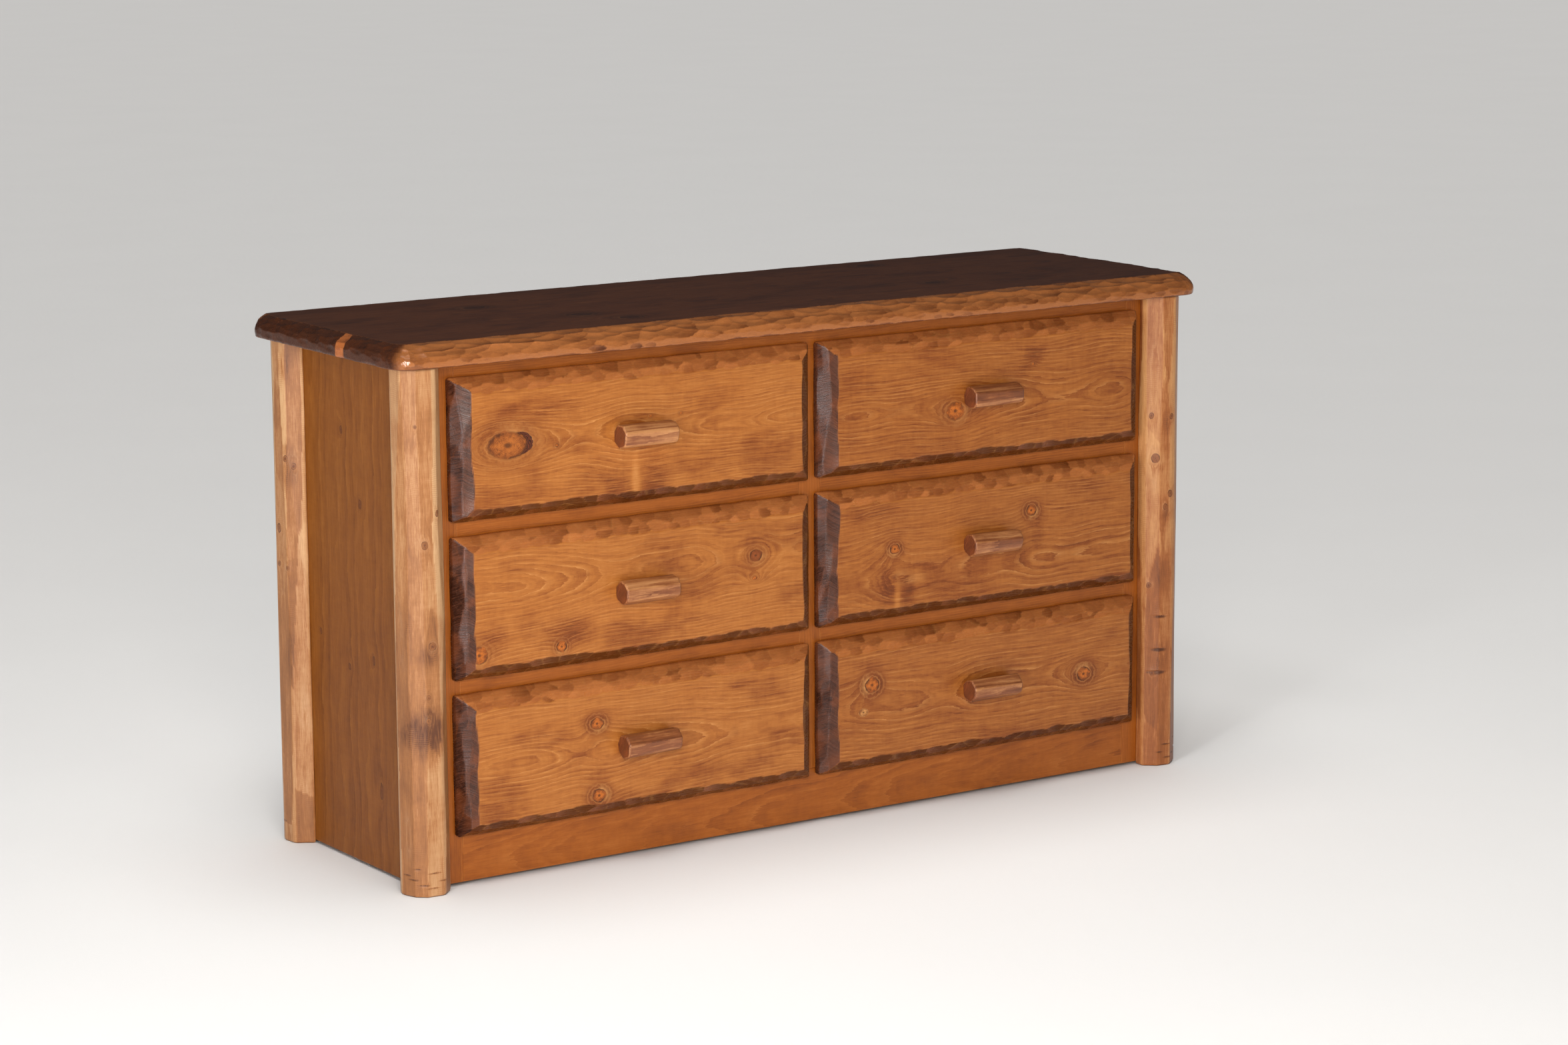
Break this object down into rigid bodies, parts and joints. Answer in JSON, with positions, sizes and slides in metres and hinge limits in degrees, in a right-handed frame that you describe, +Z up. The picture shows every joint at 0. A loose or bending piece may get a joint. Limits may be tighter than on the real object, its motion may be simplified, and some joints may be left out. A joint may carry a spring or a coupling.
{
  "type": "dresser",
  "caption": "Rustic log dresser: wide pine case on peeled log corner posts, thick hewn-edge top, two columns of bevelled overlay drawers with log pulls.",
  "frame": {"origin": "bottom centre of the whole dresser's bounding box, on the floor between the four posts", "axes": "+X to the right along the width as seen from the front, +Y towards the back, +Z up; drawers open along -Y"},
  "size_m": [1.524, 0.495, 0.84],
  "materials": {
    "top_slab": "stained pine with a hewn edge, satin lacquer",
    "case_pine": "honey stained pine boards, satin lacquer",
    "log_post": "hand-peeled stained pine log, satin lacquer",
    "drawer_front": "honey stained knotty pine with darker hewn bevels, satin lacquer",
    "log_pull": "hand-peeled stained pine log, satin lacquer",
    "drawer_box": "unstained sanded pine",
    "drawer_bottom": "unstained thin plywood",
    "back_panel": "thin plywood, lightly stained",
    "runner": "unfinished planed hardwood",
    "screw_steel": "zinc plated steel screw heads, shown only in the visual model"
  },
  "bodies": {
    "carcass": {"back_panel": "back_panel", "centre_divider": "case_pine", "post_back_left": "log_post", "post_back_right": "log_post", "post_front_left": "log_post", "post_front_right": "log_post", "rail_bottom": "case_pine", "rail_lower_left": "case_pine", "rail_lower_right": "case_pine", "rail_top": "case_pine", "rail_upper_left": "case_pine", "rail_upper_right": "case_pine", "runner_bottom_left": "runner", "runner_bottom_right": "runner", "runner_middle_left": "runner", "runner_middle_right": "runner", "runner_top_left": "runner", "runner_top_right": "runner", "side_panel_left": "case_pine", "side_panel_right": "case_pine", "stile_centre": "case_pine", "stile_left": "case_pine", "stile_right": "case_pine", "top_slab": "top_slab"},
    "drawer_bottom_left": {"drawer_bottom_left_back": "drawer_box", "drawer_bottom_left_bottom": "drawer_bottom", "drawer_bottom_left_front": "drawer_front", "drawer_bottom_left_pull": "log_pull", "drawer_bottom_left_side_left": "drawer_box", "drawer_bottom_left_side_right": "drawer_box"},
    "drawer_bottom_right": {"drawer_bottom_right_back": "drawer_box", "drawer_bottom_right_bottom": "drawer_bottom", "drawer_bottom_right_front": "drawer_front", "drawer_bottom_right_pull": "log_pull", "drawer_bottom_right_side_left": "drawer_box", "drawer_bottom_right_side_right": "drawer_box"},
    "drawer_middle_left": {"drawer_middle_left_back": "drawer_box", "drawer_middle_left_bottom": "drawer_bottom", "drawer_middle_left_front": "drawer_front", "drawer_middle_left_pull": "log_pull", "drawer_middle_left_side_left": "drawer_box", "drawer_middle_left_side_right": "drawer_box"},
    "drawer_middle_right": {"drawer_middle_right_back": "drawer_box", "drawer_middle_right_bottom": "drawer_bottom", "drawer_middle_right_front": "drawer_front", "drawer_middle_right_pull": "log_pull", "drawer_middle_right_side_left": "drawer_box", "drawer_middle_right_side_right": "drawer_box"},
    "drawer_top_left": {"drawer_top_left_back": "drawer_box", "drawer_top_left_bottom": "drawer_bottom", "drawer_top_left_front": "drawer_front", "drawer_top_left_pull": "log_pull", "drawer_top_left_side_left": "drawer_box", "drawer_top_left_side_right": "drawer_box"},
    "drawer_top_right": {"drawer_top_right_back": "drawer_box", "drawer_top_right_bottom": "drawer_bottom", "drawer_top_right_front": "drawer_front", "drawer_top_right_pull": "log_pull", "drawer_top_right_side_left": "drawer_box", "drawer_top_right_side_right": "drawer_box"}
  },
  "joints": [
    {"name": "drawer_bottom_left_slide", "type": "slide", "parent": "carcass", "child": "drawer_bottom_left", "axis": [0, -1, 0], "range_m": [0, 0.265]},
    {"name": "drawer_bottom_right_slide", "type": "slide", "parent": "carcass", "child": "drawer_bottom_right", "axis": [0, -1, 0], "range_m": [0, 0.265]},
    {"name": "drawer_middle_left_slide", "type": "slide", "parent": "carcass", "child": "drawer_middle_left", "axis": [0, -1, 0], "range_m": [0, 0.265]},
    {"name": "drawer_middle_right_slide", "type": "slide", "parent": "carcass", "child": "drawer_middle_right", "axis": [0, -1, 0], "range_m": [0, 0.265]},
    {"name": "drawer_top_left_slide", "type": "slide", "parent": "carcass", "child": "drawer_top_left", "axis": [0, -1, 0], "range_m": [0, 0.265]},
    {"name": "drawer_top_right_slide", "type": "slide", "parent": "carcass", "child": "drawer_top_right", "axis": [0, -1, 0], "range_m": [0, 0.265]}
  ]
}
